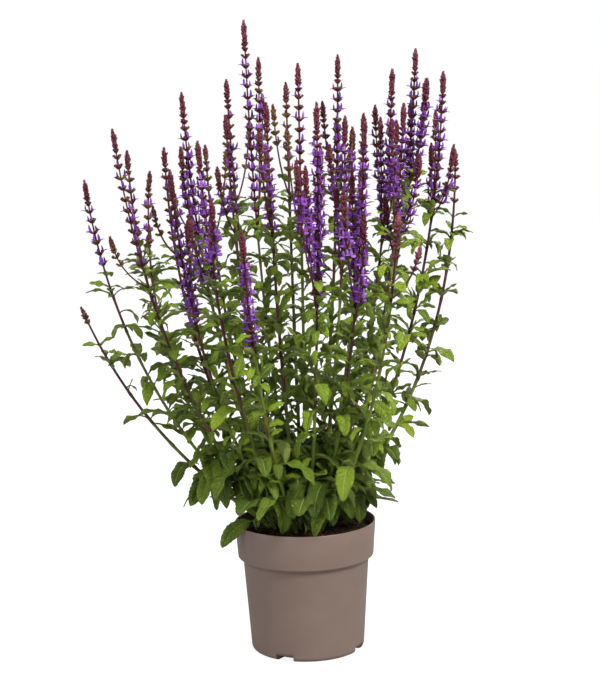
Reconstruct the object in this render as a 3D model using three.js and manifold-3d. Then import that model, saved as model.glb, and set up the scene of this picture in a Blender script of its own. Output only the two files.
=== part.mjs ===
// A violet-flowered common sage in a plastic nursery pot, in millimetres, +Z up.
// The origin is the middle of the pot's flat underside. The pot's front is towards -Y.
// Each flowering shoot is two solids: a leafy green stem that stands in a hole in the soil,
// and on its top the purple spray, which is one leading flower spike and its side spikes.
import * as THREE from "three";
import { mergeVertices } from "three/addons/utils/BufferGeometryUtils.js";
import Module from "manifold-3d";

const wasm = await Module();
wasm.setup();

// The pot: outer radii and heights of its stepped side, and its wall.
const rimRadius = 85;
const collarFootRadius = 82;
const shoulderRadius = 75.8;
const heelRadius = 68.6;
const baseRadius = 62;
const potHeight = 158.5;
const collarFootHeight = 116;
const shoulderHeight = 109;
const heelHeight = 7.5;
const wall = 1.6;
const rimEase = 1.2;
const mouthRadius = 82.9;
const potSides = 30;

// Four drain pockets in the heel, each with a ceiling that two holes go through.
const pocketCount = 4;
const pocketStart = -115; // degrees, the pocket left of the front
const pocketHalfAngle = 9.5; // degrees
const pocketHeight = 7.5;
const pocketInnerRadius = 51;
const drainRadius = 2.6;
const drainRingRadius = 57;
const drainHalfAngle = 4.6; // degrees
const drainSides = 8;

// The soil: it fills the pot up to a low mound with a lumpy surface.
const fitGap = 0.3;
const soilEdgeHeight = 146;
const soilMound = 4;
const soilFlat = 38; // radius of the level middle that the stems stand in
const soilLump = 1.4;

// A stem: it starts in the soil, leans out and turns upwards.
const rootDepth = 16;
const rootSpread = 0.17; // root place as a share of the tip's place
const rootCollar = 2.5; // height of the upright foot above the soil
const stemHalfWidth = 2.1;
const stemTopHalfWidth = 1.3;
const spikeTipHalfWidth = 0.8;
const branchHalfWidth = 1;
const stemRise = 0.38; // height of the path's control point, as a share of the whole
const peduncle = 42; // bare stem between the top leaves and the lowest whorl
const sideSpikeShare = 0.62; // most of a side branch that its whorls may cover
const pathSteps = 48;

// A flower spike: whorls of four florets, and a tip of close buds.
const whorlStep = 18.5;
const whorlHeight = 8;
const whorlReach = 8;
const topWhorlReach = 5.4;
const floretLift = 1.5;
const budShare = 0.2;
const budLeast = 13;
const budRows = 3;
const longSpike = 90; // a shorter spike has one row of buds less
const budReach = 4.2;

// Leaves: pairs up the stem, each pair a quarter turn from the one below.
const leafStep = 66;
const leafCrowding = 1.12;
const firstLeaf = 48;
const lowLeafLength = 79;
const topLeafLength = 34;
const lowLeafWidth = 0.35; // as a share of the length
const topLeafWidth = 0.33;
const leafThickness = 1.3;
const leafFold = 0.26;
const leafSteps = 12;
const leafAway = 0.48; // least cosine between a leaf's start and the way its stem face looks
const leastDroop = 25; // degrees
const beyondRimHeight = 178; // leaves that reach out past the pot's lip stay above this
const faceHeight = 3;

// Shoots, from left to right. tip is the top of the leading spike and spike its length,
// bow is how far the stem swings out, and each of sides is a side spike's tip and length.
const shoots = [
  { tip: [-264, 40, 418], spike: 30, bow: 0.7, sides: [] },
  { tip: [-247, -20, 575], spike: 93, bow: 0.85, sides: [] },
  { tip: [-208, -60, 635], spike: 150, bow: 0.8, sides: [[-212, -98, 516, 40]] },
  { tip: [-203, 60, 604], spike: 95, bow: 0.95, sides: [[-182, 98, 500, 34]] },
  { tip: [-171, -10, 583], spike: 80, bow: 1.2, sides: [] },
  { tip: [-162, 110, 604], spike: 95, bow: 0.95, sides: [[-176, 78, 535, 55]] },
  { tip: [-141, -110, 590], spike: 150, bow: 0.85, sides: [] },
  { tip: [-134, 40, 672], spike: 140, bow: 0.85, sides: [[-150, 8, 574, 56]] },
  { tip: [-107, -150, 623], spike: 120, bow: 0.85, sides: [[-92, -182, 561, 85]] },
  { tip: [-113, 150, 604], spike: 80, bow: 0.9, sides: [[-88, 178, 596, 60]] },
  { tip: [-80, -30, 646], spike: 100, bow: 0.85, sides: [[-90, -62, 589, 80]] },
  { tip: [-82, 92, 685], spike: 112, bow: 0.85, sides: [[-56, 118, 635, 70]] },
  { tip: [-57, 20, 754], spike: 200, bow: 0.85, sides: [[-38, 48, 668, 100]] },
  { tip: [-61, -170, 525], spike: 100, bow: 0.8, sides: [] },
  { tip: [-32, -80, 661], spike: 110, bow: 0.85, sides: [[-40, -116, 634, 90]] },
  { tip: [-10, 120, 679], spike: 100, bow: 0.85, sides: [[-27, 152, 652, 60]] },
  { tip: [5, -10, 703], spike: 164, bow: 0.85, sides: [[-10, 30, 628, 60]] },
  { tip: [24, -150, 662], spike: 180, bow: 0.85, sides: [[0, -176, 600, 80]] },
  { tip: [53, 60, 711], spike: 124, bow: 0.85, sides: [[34, 88, 656, 80]] },
  { tip: [57, -64, 643], spike: 125, bow: 0.85, sides: [[64, -98, 632, 80]] },
  { tip: [76, -142, 644], spike: 175, bow: 0.85, sides: [[50, -178, 568, 70]] },
  { tip: [86, 150, 638], spike: 95, bow: 0.85, sides: [[66, 120, 594, 60]] },
  { tip: [116, 20, 694], spike: 150, bow: 0.85, sides: [[96, 48, 651, 90]] },
  { tip: [124, -62, 656], spike: 110, bow: 0.85, sides: [[108, -98, 640, 80]] },
  { tip: [149, 100, 716], spike: 125, bow: 0.85, sides: [[160, 64, 681, 95]] },
  { tip: [173, -16, 690], spike: 120, bow: 0.9, sides: [[166, 18, 644, 80]] },
  { tip: [193, 70, 594], spike: 60, bow: 1.0, sides: [] },
  { tip: [110, -160, 540], spike: 60, bow: 0.85, sides: [[136, -128, 500, 40]] },
];

// Colours of the parts.
const potColour = 0x8f7d72;
const soilColour = 0x2a1a14;
const leafColour = 0x4d7030;
const flowerColour = 0x5a2a86;

const radians = THREE.MathUtils.degToRad;
const lerp = THREE.MathUtils.lerp;
const up = new THREE.Vector3(0, 0, 1);

// A closed geometry as a solid for cutting and joining.
function solid(geometry) {
  const bare = geometry.clone();
  bare.deleteAttribute("normal");
  bare.deleteAttribute("uv");
  const merged = mergeVertices(bare, 1e-4);
  return new wasm.Manifold(
    new wasm.Mesh({
      numProp: 3,
      vertProperties: merged.attributes.position.array,
      triVerts: new Uint32Array(merged.index.array),
    }),
  );
}

// A solid as a geometry again.
function geometryOf(cut) {
  const mesh = cut.getMesh();
  return new THREE.BufferGeometry()
    .setAttribute("position", new THREE.BufferAttribute(mesh.vertProperties, 3))
    .setIndex(new THREE.BufferAttribute(mesh.triVerts, 1));
}

// A profile of [radius, height] points turned round the Z axis.
function turned(profile, sides) {
  const points = profile.map(([r, z]) => new THREE.Vector2(r, z));
  return new THREE.LatheGeometry(points, sides).rotateX(Math.PI / 2);
}

// A block between two radii and two heights, as wide as the half angle on each side.
function sector(middle, half, inner, outer, low, high) {
  const a = radians(middle - half);
  const b = radians(middle + half);
  const shape = new THREE.Shape();
  shape.moveTo(inner * Math.cos(a), inner * Math.sin(a));
  shape.lineTo(outer * Math.cos(a), outer * Math.sin(a));
  shape.lineTo(outer * Math.cos(b), outer * Math.sin(b));
  shape.lineTo(inner * Math.cos(b), inner * Math.sin(b));
  shape.closePath();
  const block = new THREE.ExtrudeGeometry(shape, { depth: high - low, bevelEnabled: false });
  return block.translate(0, 0, low);
}

const pocketAngles = Array.from(
  { length: pocketCount },
  (_, i) => pocketStart + (i * 360) / pocketCount,
);
const pocketWallAngle = THREE.MathUtils.radToDeg(wall / heelRadius);

// The inside of the pot, drawn smaller by a gap, and closed over at a height.
function cavityProfile(gap, top) {
  return [
    [0, wall + gap],
    [baseRadius - wall - gap, wall + gap],
    [heelRadius - wall - gap, heelHeight + wall],
    [shoulderRadius - wall - gap, shoulderHeight + wall],
    [collarFootRadius - wall - gap, collarFootHeight + wall],
    ...top,
  ];
}

function makePot() {
  const outside = [
    [0, 0],
    [baseRadius, 0],
    [baseRadius + 4.4, heelHeight * 0.28],
    [heelRadius, heelHeight],
    [shoulderRadius, shoulderHeight],
    [collarFootRadius, collarFootHeight],
    [rimRadius, potHeight - rimEase],
    [rimRadius - rimEase, potHeight],
    [0, potHeight],
  ];
  const mouth = [
    [mouthRadius, potHeight],
    [mouthRadius, potHeight + 1],
    [0, potHeight + 1],
  ];
  let pot = solid(turned(outside, potSides));
  let cavity = solid(turned(cavityProfile(0, mouth), potSides));
  for (const angle of pocketAngles) {
    const half = pocketHalfAngle + pocketWallAngle;
    const inner = pocketInnerRadius - wall;
    cavity = cavity.subtract(solid(sector(angle, half, inner, rimRadius, 0, pocketHeight + wall)));
  }
  pot = pot.subtract(cavity);
  for (const angle of pocketAngles) {
    const pocket = sector(angle, pocketHalfAngle, pocketInnerRadius, rimRadius, -1, pocketHeight);
    pot = pot.subtract(solid(pocket));
    for (const side of [-1, 1]) {
      const turn = radians(angle + side * drainHalfAngle);
      const drill = new THREE.CylinderGeometry(drainRadius, drainRadius, 4 * wall, drainSides);
      drill.rotateX(Math.PI / 2);
      const x = drainRingRadius * Math.cos(turn);
      const y = drainRingRadius * Math.sin(turn);
      drill.translate(x, y, pocketHeight + wall);
      pot = pot.subtract(solid(drill));
    }
  }
  return geometryOf(pot);
}

// The soil's surface: level round the stems, then lumpy and falling to the edge.
function soilHeight(x, y) {
  const far = Math.hypot(x, y);
  if (far < soilFlat + 1) return soilEdgeHeight + soilMound;
  const lumps = Math.sin(x / 7.3 + 1.1) * Math.sin(y / 6.1 + 0.4) + Math.sin(x / 13 - y / 11);
  const fall = (far - soilFlat) / (rimRadius - soilFlat);
  return soilEdgeHeight + soilMound * (1 - fall) + (soilLump * lumps) / 2;
}

function makeSoil(roots) {
  const collarFoot = collarFootHeight + wall;
  const level = (soilEdgeHeight - soilLump - collarFoot) / (potHeight - collarFoot);
  const edge = lerp(collarFootRadius - wall, mouthRadius, level) - fitGap;
  const top = [edge, 64, soilFlat, 0].map((radius) => [radius, potHeight]);
  const geometry = turned(cavityProfile(fitGap, top), potSides);
  const place = geometry.attributes.position;
  for (let i = 0; i < place.count; i++) {
    if (place.getZ(i) > potHeight - 1) place.setZ(i, soilHeight(place.getX(i), place.getY(i)));
  }
  let soil = solid(geometry);
  for (const angle of pocketAngles) {
    const half = pocketHalfAngle + pocketWallAngle + THREE.MathUtils.radToDeg(fitGap / pocketInnerRadius);
    const inner = pocketInnerRadius - wall - fitGap;
    soil = soil.subtract(solid(sector(angle, half, inner, rimRadius, 0, pocketHeight + wall + fitGap)));
  }
  for (const root of roots) soil = soil.subtract(root);
  return geometryOf(soil);
}

// A closed skin that is drawn out ring by ring and face by face.
class Skin {
  points = [];
  faces = [];

  add(point) {
    this.points.push(point);
    return this.points.length - 1;
  }

  // Sides between two loops of four corners.
  bridge(low, high) {
    for (let i = 0; i < 4; i++) this.side(low, high, i);
  }

  side(low, high, i) {
    const j = (i + 1) % 4;
    this.faces.push([low[i], low[j], high[j]], [low[i], high[j], high[i]]);
  }

  // Eight triangles from a loop to one whose corners face the first one's edges.
  turnBridge(low, high) {
    for (let i = 0; i < 4; i++) {
      const j = (i + 1) % 4;
      this.faces.push([low[i], low[j], high[i]], [low[j], high[j], high[i]]);
    }
  }

  // A turned bridge in which each triangle that stands on the low loop is drawn out to a bud.
  budRow(low, high, crown) {
    for (let i = 0; i < 4; i++) {
      const j = (i + 1) % 4;
      const bud = this.add(crown[i]);
      this.faces.push([low[i], low[j], bud], [low[j], high[i], bud], [high[i], low[i], bud]);
      this.faces.push([low[j], high[j], high[i]]);
    }
  }

  peak(loop, point) {
    const top = this.add(point);
    for (let i = 0; i < 4; i++) this.faces.push([loop[i], loop[(i + 1) % 4], top]);
  }

  close(loop) {
    this.faces.push([loop[0], loop[1], loop[2]], [loop[0], loop[2], loop[3]]);
  }

  // The loop of one side face between two rings, as seen from outside.
  face(low, high, i) {
    const j = (i + 1) % 4;
    return [low[i], low[j], high[j], high[i]];
  }

  geometry() {
    const flat = this.points.flatMap((p) => [p.x, p.y, p.z]);
    return new THREE.BufferGeometry()
      .setAttribute("position", new THREE.Float32BufferAttribute(flat, 3))
      .setIndex(this.faces.flat());
  }
}

// A path from start to end that bends at a control point. It knows its length, and gives
// the place and direction at a distance from its start.
class Path {
  constructor(start, bend, end) {
    this.curve = new THREE.QuadraticBezierCurve3(start, bend, end);
    this.marks = [0];
    for (let i = 1; i <= pathSteps; i++) {
      const a = this.curve.getPoint((i - 1) / pathSteps);
      const b = this.curve.getPoint(i / pathSteps);
      this.marks.push(this.marks[i - 1] + a.distanceTo(b));
    }
    this.length = this.marks[pathSteps];
  }

  share(distance) {
    let i = 1;
    while (i < pathSteps && this.marks[i] < distance) i++;
    const step = this.marks[i] - this.marks[i - 1];
    return (i - 1 + (distance - this.marks[i - 1]) / step) / pathSteps;
  }

  at(distance) {
    return this.curve.getPoint(this.share(distance));
  }

  along(distance) {
    return this.curve.getTangent(this.share(distance));
  }
}

// The corner points of a square ring across a path: side is its level direction.
function ringPoints(middle, along, side, half, turn = 0) {
  const v = side.clone().addScaledVector(along, -side.dot(along)).normalize();
  const u = v.clone().cross(along);
  const c = Math.cos(turn);
  const s = Math.sin(turn);
  const a = u.clone().multiplyScalar(c).addScaledVector(v, s);
  const b = v.clone().multiplyScalar(c).addScaledVector(u, -s);
  const corners = [
    [1, -1],
    [1, 1],
    [-1, 1],
    [-1, -1],
  ];
  return corners.map(([p, q]) =>
    middle.clone().addScaledVector(a, half * p).addScaledVector(b, half * q),
  );
}

function addRing(skin, path, distance, side, half, turn = 0) {
  const points = ringPoints(path.at(distance), path.along(distance), side, half, turn);
  return points.map((p) => skin.add(p));
}

// A number from 0 to 1 that depends on whole numbers alone.
function draw(...keys) {
  const weights = [9973, 971, 89, 7];
  let value = keys.reduce((sum, key, i) => sum + key * weights[i], 1);
  for (let i = 0; i < 3; i++) value = (value * 16807) % 2147483647;
  return value / 2147483647;
}

// The path of each stem, from the soil's surface to the tip of its leading spike.
function stemPath(shoot) {
  const tip = new THREE.Vector3(...shoot.tip);
  const ground = soilEdgeHeight + soilMound + rootCollar;
  const root = new THREE.Vector3(tip.x * rootSpread, tip.y * rootSpread, ground);
  const bend = new THREE.Vector3(
    lerp(root.x, tip.x, shoot.bow),
    lerp(root.y, tip.y, shoot.bow),
    lerp(root.z, tip.z, stemRise),
  );
  return new Path(root, bend, tip);
}

const plants = shoots.map((shoot, index) => {
  const path = stemPath(shoot);
  const turn = Math.atan2(shoot.tip[1], shoot.tip[0]) + (draw(index, 0, 0, 1) - 0.5);
  return {
    ...shoot,
    index,
    path,
    top: path.length - shoot.spike - peduncle,
    side: new THREE.Vector3(-Math.sin(turn), Math.cos(turn), 0),
  };
});

// The flower spike that ends a path: whorls, then rows of buds, then a point.
function addSpike(skin, path, loop, from, side, half) {
  const span = path.length - from;
  const buds = Math.max(budLeast, span * budShare);
  const open = span - buds;
  const whorls = Math.max(1, Math.round(open / whorlStep));
  const step = open / whorls;
  let turn = 0;
  let below = loop;
  for (let i = 0; i < whorls; i++) {
    const share = i / whorls;
    const width = lerp(half, spikeTipHalfWidth, share);
    const reach = lerp(whorlReach, topWhorlReach, share * share);
    const distance = from + i * step;
    const low = addRing(skin, path, distance, side, width, turn);
    const high = addRing(skin, path, distance + whorlHeight, side, width, turn);
    const middle = path.at(distance + whorlHeight);
    const along = path.along(distance + whorlHeight);
    const crown = ringPoints(middle, along, side, reach / Math.SQRT2, turn + Math.PI / 4);
    skin.bridge(below, low);
    for (let k = 0; k < 4; k++) {
      skin.peak(skin.face(low, high, k), crown[k].addScaledVector(along, floretLift));
    }
    below = high;
    turn += Math.PI / 8;
  }
  const rows = span > longSpike ? budRows : budRows - 1;
  const row = buds / (rows + 0.5);
  for (let i = 0; i < rows; i++) {
    const reach = lerp(budReach, budReach * 0.6, i / rows);
    const distance = path.length - buds + (i + 1) * row;
    turn += Math.PI / 4;
    const next = addRing(skin, path, distance, side, spikeTipHalfWidth * lerp(1.5, 1, i / rows), turn);
    const along = path.along(distance);
    const crown = ringPoints(path.at(distance), along, side, reach / Math.SQRT2, turn);
    skin.budRow(below, next, crown);
    below = next;
  }
  skin.peak(below, path.at(path.length));
}

// The path of a side spike, from a face of the main stem to its own tip.
function branchPath(from, tip) {
  const bend = new THREE.Vector3(
    lerp(from.x, tip.x, 0.8),
    lerp(from.y, tip.y, 0.8),
    lerp(from.z, tip.z, 0.3),
  );
  return new Path(from, bend, tip);
}

// The spray: the top of the stem with its leading spike, and side spikes drawn out of the
// faces that look towards their tips.
function makeSpray(plant) {
  const { path, top, side } = plant;
  const skin = new Skin();
  const joint = top + fitGap;
  const branchLow = joint + 3;
  const branchHigh = branchLow + 4;
  const base = addRing(skin, path, joint, side, stemTopHalfWidth);
  const low = addRing(skin, path, branchLow, side, stemTopHalfWidth);
  const high = addRing(skin, path, branchHigh, side, stemTopHalfWidth);
  skin.close([...base].reverse());
  skin.bridge(base, low);
  const taken = new Map();
  for (const [x, y, z, length] of plant.sides) {
    const tip = new THREE.Vector3(x, y, z);
    const away = tip.clone().sub(path.at(branchHigh));
    const facing = (i) => {
      const [a, b] = [skin.points[low[i]], skin.points[low[(i + 1) % 4]]];
      const out = a.clone().add(b).multiplyScalar(0.5).sub(path.at(branchLow));
      return out.x * away.x + out.y * away.y;
    };
    const face = [0, 1, 2, 3].reduce((best, i) => (facing(i) > facing(best) ? i : best));
    taken.set(face, { tip, length });
  }
  for (let i = 0; i < 4; i++) {
    if (!taken.has(i)) {
      skin.side(low, high, i);
      continue;
    }
    const { tip, length } = taken.get(i);
    const loop = skin.face(low, high, i);
    const corners = loop.map((k) => skin.points[k]);
    const middle = corners.reduce((sum, p) => sum.add(p), new THREE.Vector3()).multiplyScalar(0.25);
    const branch = branchPath(middle, tip);
    const level = corners[1].clone().sub(corners[0]).normalize();
    const start = Math.max(branch.length - length, branch.length * (1 - sideSpikeShare));
    let below = loop;
    for (const distance of [9, start - 2]) {
      const next = addRing(skin, branch, distance, level, branchHalfWidth);
      skin.bridge(below, next);
      below = next;
    }
    addSpike(skin, branch, below, start, level, branchHalfWidth);
  }
  addSpike(skin, path, high, top + peduncle, side, stemTopHalfWidth);
  return skin.geometry();
}

// The size and stance of a leaf at a share of the leafy stem's height.
function leafStance(plant, level, pair, share) {
  const vary = (channel) => draw(plant.index, level, pair, channel);
  const length = lerp(lowLeafLength, topLeafLength, share ** 0.7) * lerp(0.88, 1.1, vary(2));
  return {
    length,
    width: length * lerp(lowLeafWidth, topLeafWidth, share) * lerp(0.92, 1.08, vary(3)),
    petiole: lerp(0.26, 0.08, share),
    rise: radians(lerp(44, 54, share) + lerp(-12, 12, vary(4))),
    droop: radians(lerp(138, 74, share) * lerp(0.8, 1.2, vary(5))),
    bend: lerp(0.55, 0.95, share),
    roll: radians(lerp(-40, 40, vary(6))),
  };
}

// The middle line of a leaf: it leaves at an angle and bends down, low leaves most of it near
// the stem. Each place has its direction, the level side direction and the upper side's
// direction, turned by the roll.
function leafLine(from, azimuth, stance) {
  const step = stance.length / leafSteps;
  const out = new THREE.Vector3(Math.cos(azimuth), Math.sin(azimuth), 0);
  const level = new THREE.Vector3(-Math.sin(azimuth), Math.cos(azimuth), 0);
  const line = [];
  let place = from.clone();
  for (let i = 0; i <= leafSteps; i++) {
    const angle = stance.rise - stance.droop * (i / leafSteps) ** stance.bend;
    const along = out.clone().multiplyScalar(Math.cos(angle)).addScaledVector(up, Math.sin(angle));
    const top = along.clone().cross(level);
    const roll = (stance.roll * i) / leafSteps;
    const right = level.clone().multiplyScalar(Math.cos(roll)).addScaledVector(top, Math.sin(roll));
    line.push({ place, along, right, above: along.clone().cross(right) });
    place = place.clone().addScaledVector(along, step);
  }
  return line;
}

// Half the blade's width at a share of the leaf's length: long and blunt, with a petiole.
function bladeShare(share, petiole) {
  const t = (share - petiole) / (1 - petiole);
  return t <= 0 ? 0.09 : Math.max(0.09, Math.sin(Math.PI * t ** 0.8) ** 0.62);
}

// What already fills the space, as balls of x, y, z, radius and the shoot that they are on.
const filled = [];
const stalkBalls = 9;

function fillAlong(path, from, to, radius, owner) {
  for (let distance = from; distance <= to; distance += 8) {
    const p = path.at(distance);
    filled.push([p.x, p.y, p.z, radius, owner]);
  }
}

function leafBalls(line, stance) {
  const balls = [];
  for (const i of [1, 2, 4, 5, 7, 8, 10, 11, 12]) {
    const { place, right } = line[i];
    const half = 0.36 * stance.width * bladeShare(i / leafSteps, stance.petiole);
    const radius = stance.length * (i < 3 ? 0.035 : 0.074);
    for (const across of [-1, 0, 1]) {
      const p = place.clone().addScaledVector(right, half * across);
      balls.push([p.x, p.y, p.z, radius]);
    }
  }
  return balls;
}

// The lowest that a leaf may reach: over the soil, or past the lip.
function lowest(radius) {
  return radius < rimRadius - 7 ? soilEdgeHeight + soilMound + 2 : beyondRimHeight;
}

// True if no ball meets the soil, the pot or another ball. The stalk's balls, which come
// first, may meet the leaf's own stem.
function isClear(balls, owner) {
  for (let k = 0; k < balls.length; k++) {
    const [x, y, z, radius] = balls[k];
    if (z < lowest(Math.hypot(x, y))) return false;
    for (const [a, b, c, other, whose] of filled) {
      if (whose === owner && k < stalkBalls) continue;
      const reach = radius + other;
      if ((x - a) ** 2 + (y - b) ** 2 + (z - c) ** 2 < reach * reach) return false;
    }
  }
  return true;
}

// The ways that a leaf may bend to keep clear: turns in degrees, shares of its length,
// and how much more it rises.
const ways = [];
for (const size of [1, 0.8, 0.62]) {
  for (const lift of [0, 20, 40]) {
    for (const turn of [0, 16, -16, 32, -32, 48, -48]) ways.push([turn, size, lift]);
  }
}

// The steepest that a leaf may rise at an azimuth, so that it stands away from its stem face.
function steepest(facing, azimuth) {
  const level = facing.x * Math.cos(azimuth) + facing.y * Math.sin(azimuth);
  return Math.atan2(facing.z, level) + Math.acos(Math.min(1, leafAway / Math.hypot(level, facing.z)));
}

// A leaf's stance in the first way that is clear, or null. Where the stem face holds it
// down, it droops less, so that its tip hangs as before.
function settle(plant, from, azimuth, facing, stance) {
  for (const [turn, size, lift] of ways) {
    const tried = { ...stance, length: stance.length * size, width: stance.width * size };
    const turned = azimuth + radians(turn);
    const rise = stance.rise + radians(lift);
    tried.rise = Math.min(rise, steepest(facing, turned));
    tried.droop = Math.max(radians(leastDroop), stance.droop + tried.rise - rise);
    const line = leafLine(from, turned, tried);
    const balls = leafBalls(line, tried);
    if (isClear(balls, plant.index)) {
      balls.forEach((ball) => filled.push([...ball, -1]));
      return { stance: tried, line };
    }
  }
  return null;
}

// The shares of a leaf's length at which its blade has a section, more on a large leaf.
function sections(stance) {
  const { length, petiole } = stance;
  if (length > 64) return [petiole, petiole + 0.14, 0.6, 0.84];
  return length > 45 ? [petiole + 0.12, 0.7] : [0.5];
}

// A leaf drawn out of a stem's face: a blade folded along its midrib, with a waved edge.
function addLeaf(skin, loop, { stance, line }) {
  let below = loop;
  sections(stance).forEach((share, k) => {
    const i = share * leafSteps;
    const [a, b] = [line[Math.floor(i)], line[Math.min(leafSteps, Math.floor(i) + 1)]];
    const place = a.place.clone().lerp(b.place, i % 1);
    const half = (stance.width / 2) * bladeShare(share + 0.001, stance.petiole);
    const wave = half * 0.16 * (k % 2 ? 1 : -1);
    const raised = half * leafFold;
    const point = (across, above) =>
      skin.add(place.clone().addScaledVector(a.right, across).addScaledVector(a.above, above));
    const next = [
      point(0, -leafThickness / 2),
      point(half, raised + wave),
      point(0, leafThickness / 2),
      point(-half, raised - wave),
    ];
    if (k === 0) skin.turnBridge(below, next);
    else {
      const [b1, r1, t1, l1] = below;
      const [b2, r2, t2, l2] = next;
      skin.faces.push([b1, r1, r2], [b1, r2, b2], [r1, t1, r2], [t1, t2, r2]);
      skin.faces.push([t1, l1, l2], [t1, l2, t2], [l1, b1, l2], [b1, b2, l2]);
    }
    below = next;
  });
  skin.peak(below, line[leafSteps].place.clone());
}

// The distances up a stem at which its pairs of leaves stand, closer together low down.
function leafPairs(plant) {
  const span = plant.top - faceHeight - 4 - firstLeaf;
  const count = Math.round(span / leafStep);
  return Array.from(
    { length: count + 1 },
    (_, level) => firstLeaf + span * (level / count) ** leafCrowding,
  );
}

for (const plant of plants) {
  fillAlong(plant.path, 0, plant.top + peduncle, 2.6, plant.index);
  fillAlong(plant.path, plant.top + peduncle, plant.path.length, whorlReach, plant.index);
  for (const [x, y, z, length] of plant.sides) {
    const branch = branchPath(plant.path.at(plant.top + 5), new THREE.Vector3(x, y, z));
    const start = Math.max(branch.length - length, branch.length * (1 - sideSpikeShare));
    fillAlong(branch, 8, start, 2.4, plant.index);
    fillAlong(branch, start, branch.length, whorlReach, plant.index);
  }
  plant.pairs = leafPairs(plant);
  plant.leaves = new Map();
}

// The lowest and largest leaves take their places first.
const mostPairs = Math.max(...plants.map((plant) => plant.pairs.length));
for (let level = 0; level < mostPairs; level++) {
  for (const plant of plants) {
    if (level >= plant.pairs.length) continue;
    const distance = plant.pairs[level] + faceHeight / 2;
    const share = level / (plant.pairs.length - 1);
    const from = plant.path.at(distance);
    const along = plant.path.along(distance);
    for (const pair of [0, 1]) {
      const stance = leafStance(plant, level, pair, share);
      const face = (level % 2) + 2 * pair;
      const azimuth = Math.atan2(-plant.side.x, plant.side.y) + (face * Math.PI) / 2;
      const [a, b] = ringPoints(from, along, plant.side, 1, (face * Math.PI) / 2);
      const facing = a.add(b).multiplyScalar(0.5).sub(from);
      const settled = settle(plant, from, azimuth, facing, stance);
      if (settled) plant.leaves.set(level * 4 + face, settled);
    }
  }
}

// A level ring above or below a place.
function levelRing(skin, place, height, side, half) {
  return ringPoints(place.clone().setZ(place.z + height), up, side, half).map((p) => skin.add(p));
}

function makeStem(plant) {
  const { path, top, side, pairs } = plant;
  const skin = new Skin();
  const foot = levelRing(skin, path.at(0), -rootDepth, side, stemHalfWidth);
  skin.close([...foot].reverse());
  let below = levelRing(skin, path.at(0), 0, side, stemHalfWidth);
  skin.bridge(foot, below);
  pairs.forEach((distance, level) => {
    const half = lerp(stemHalfWidth, stemTopHalfWidth, distance / top);
    const low = addRing(skin, path, distance, side, half);
    const high = addRing(skin, path, distance + faceHeight, side, half);
    skin.bridge(below, low);
    for (let i = 0; i < 4; i++) {
      const leaf = plant.leaves.get(level * 4 + i);
      if (leaf) addLeaf(skin, skin.face(low, high, i), leaf);
      else skin.side(low, high, i);
    }
    below = high;
  });
  const end = addRing(skin, path, top, side, stemTopHalfWidth);
  skin.bridge(below, end);
  skin.close(end);
  return skin.geometry();
}

// The hole that a stem stands in: its foot, drawn larger by the gap.
function rootHole({ path, side }) {
  const skin = new Skin();
  const foot = levelRing(skin, path.at(0), -rootDepth - fitGap, side, stemHalfWidth + fitGap);
  const mouth = levelRing(skin, path.at(0), rootDepth, side, stemHalfWidth + fitGap);
  skin.close([...foot].reverse());
  skin.bridge(foot, mouth);
  skin.close(mouth);
  return solid(skin.geometry());
}

const sage = new THREE.Group();

function addPart(name, geometry, colour, roughness) {
  const material = new THREE.MeshStandardMaterial({ color: colour, roughness, metalness: 0 });
  const mesh = new THREE.Mesh(geometry, material);
  mesh.name = name;
  sage.add(mesh);
}

addPart("pot", makePot(), potColour, 0.45);
addPart("soil", makeSoil(plants.map(rootHole)), soilColour, 0.95);
for (const plant of plants) {
  const number = String(plant.index + 1).padStart(2, "0");
  addPart("leafy_stem_" + number, makeStem(plant), leafColour, 0.6);
  addPart("flower_spray_" + number, makeSpray(plant), flowerColour, 0.65);
}

export default sage;
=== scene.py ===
"""The finished look of a potted common sage, in metres, +Z up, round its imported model."""

import math

import bpy
import numpy as np
from mathutils import Matrix, Vector


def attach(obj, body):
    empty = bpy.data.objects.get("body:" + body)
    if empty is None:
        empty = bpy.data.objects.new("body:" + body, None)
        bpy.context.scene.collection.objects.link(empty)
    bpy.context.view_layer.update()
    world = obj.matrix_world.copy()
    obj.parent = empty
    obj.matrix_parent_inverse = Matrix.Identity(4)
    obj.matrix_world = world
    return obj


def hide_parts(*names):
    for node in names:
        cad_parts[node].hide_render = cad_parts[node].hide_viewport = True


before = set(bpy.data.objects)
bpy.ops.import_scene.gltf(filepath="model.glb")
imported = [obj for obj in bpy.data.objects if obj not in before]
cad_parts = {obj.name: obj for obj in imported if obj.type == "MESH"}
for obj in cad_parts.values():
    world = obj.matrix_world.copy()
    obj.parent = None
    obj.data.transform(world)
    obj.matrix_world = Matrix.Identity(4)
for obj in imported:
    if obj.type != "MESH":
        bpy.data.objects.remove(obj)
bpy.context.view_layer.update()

# The studio: a wide pale floor under a white sky, one big soft lamp above the right
# shoulder, a weak one from the left and one from behind. The camera is a long lens a
# little above the plant's middle, tilted down, with the slight roll of the photograph.
camera_place = Vector((-0.0009, -2.2, 0.722))
camera_pitch = 0.1605
camera_roll = 0.0256
focal_pixels = 1869.3
picture_height = 700
floor_reach = 40
sky_light = 0.45


def srgb(red, green, blue):
    """A screen colour from 0 to 255 as a linear one: ((c + 0.055) / 1.055) to the power 2.4."""
    shares = [value / 255 for value in (red, green, blue)]
    linear = [((s + 0.055) / 1.055) ** 2.4 if s > 0.04 else s / 12.92 for s in shares]
    return (*linear, 1.0)


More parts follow.
